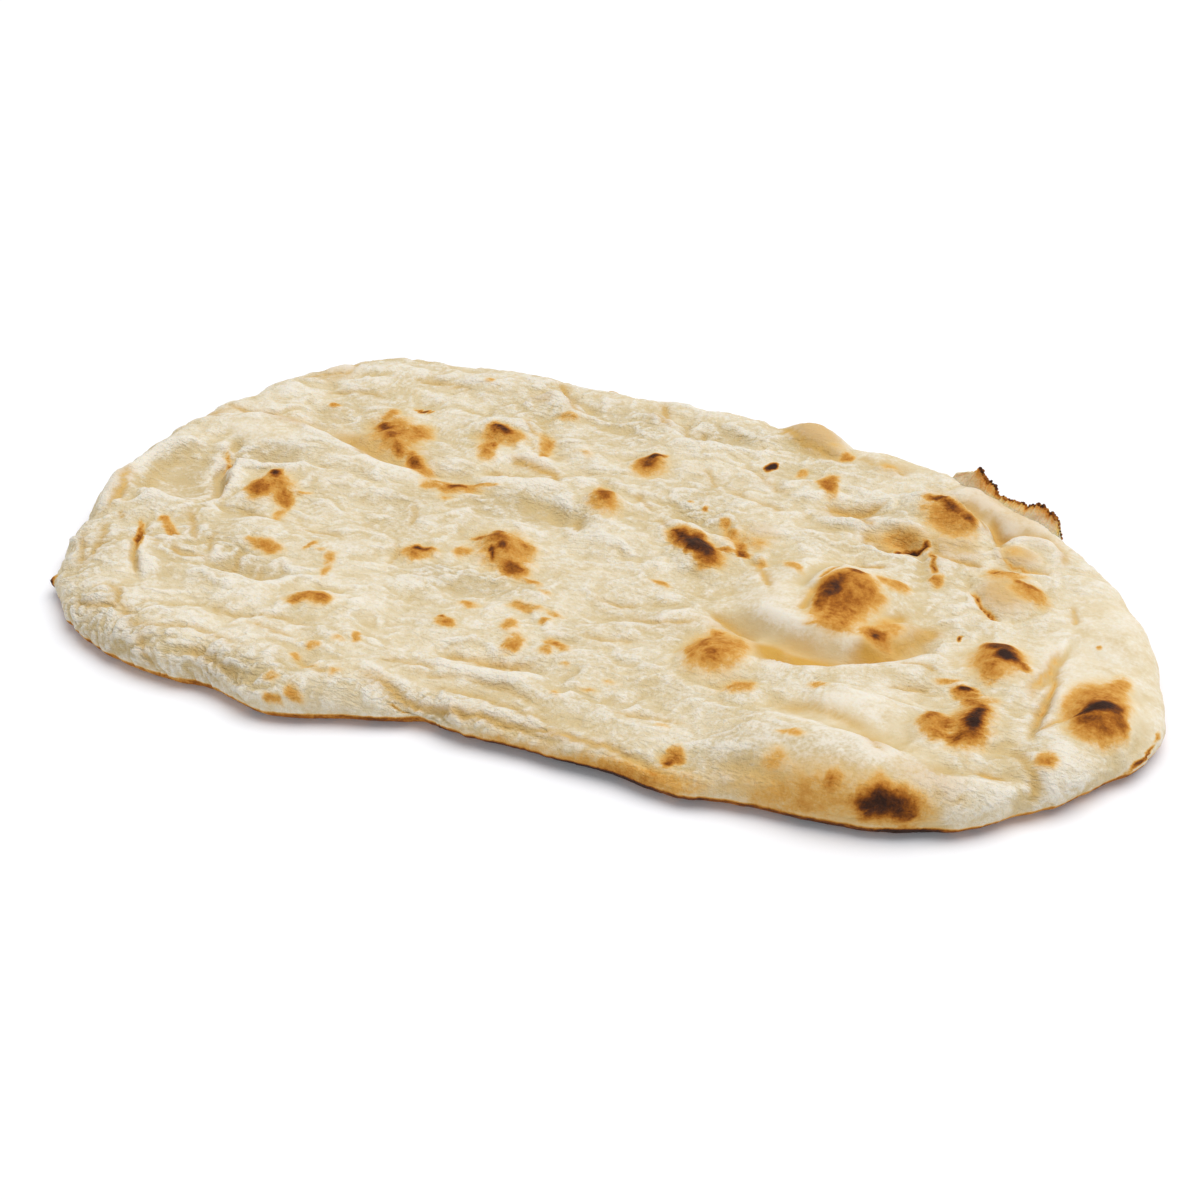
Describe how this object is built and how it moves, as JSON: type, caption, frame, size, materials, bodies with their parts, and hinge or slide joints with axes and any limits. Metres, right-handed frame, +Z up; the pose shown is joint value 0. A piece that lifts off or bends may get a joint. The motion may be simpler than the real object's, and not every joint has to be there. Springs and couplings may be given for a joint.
{
  "type": "pinsa base",
  "caption": "Long hand-stretched pinsa base of baked dough, untopped, with a rounded rim, folds, charred blisters and a burst blister.",
  "frame": {"origin": "middle of the foot of the box round the whole piece, on the flat base", "axes": "+X along the length towards the end with the large blister, +Y from front to back, +Z up through the thickness"},
  "size_m": [0.3316, 0.2024, 0.0201],
  "materials": {
    "baked_dough": "floured baked dough, matte, pale cream with brown and black scorched blisters"
  },
  "bodies": {
    "root": {"pinsa_base": "baked_dough"}
  },
  "joints": []
}
